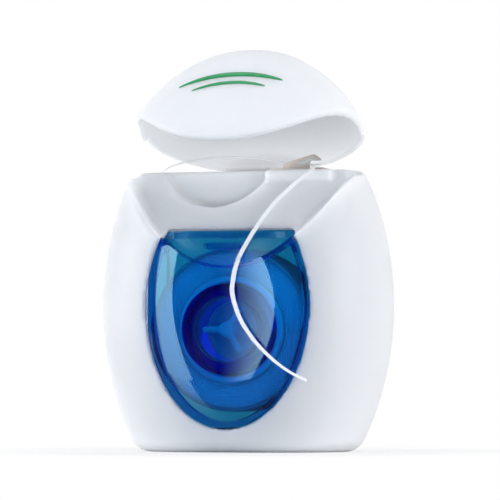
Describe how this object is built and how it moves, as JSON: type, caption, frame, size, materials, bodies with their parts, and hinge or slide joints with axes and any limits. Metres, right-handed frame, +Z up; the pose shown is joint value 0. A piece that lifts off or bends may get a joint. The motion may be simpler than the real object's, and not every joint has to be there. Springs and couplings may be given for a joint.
{
  "type": "dental floss dispenser",
  "caption": "Pocket floss dispenser: a rounded two-part housing with a see-through window, an inner bobbin of floss, a metal cutter and a domed flip-top lid on a living hinge.",
  "frame": {"origin": "middle of the flat base, on the plane that the dispenser stands on", "axes": "+Z up, from the base to the lid; -Y out of the front, which holds the window; +X to the right of the front, seen from outside"},
  "size_m": [0.0504, 0.0313, 0.0681],
  "materials": {
    "white_plastic": "satin moulded polypropylene",
    "blue_window": "clear tinted, polished",
    "cutter_steel": "stamped sheet, bright edge",
    "floss": "waxed tape",
    "core_plastic": "moulded"
  },
  "bodies": {
    "housing": {"front_shell": "white_plastic", "rear_shell": "white_plastic", "window_insert": "blue_window", "cutter": "cutter_steel", "living_hinge": "white_plastic", "floss_feed": "floss", "floss_strand": "floss"},
    "lid": {"lid": "white_plastic"},
    "spool": {"spool_core": "core_plastic", "winding_pack": "floss", "winding_outer_layer": "floss"}
  },
  "joints": [
    {"name": "lid_hinge", "type": "hinge", "parent": "housing", "child": "lid", "pos_m": [0, 0.0095, 0.04745], "axis": [-1, 0, 0], "range_deg": [-40, 75], "deforming": ["living_hinge"]},
    {"name": "spool_spin", "type": "hinge", "parent": "housing", "child": "spool", "pos_m": [0, 0, 0.0204], "axis": [0, 1, 0], "continuous": true}
  ]
}
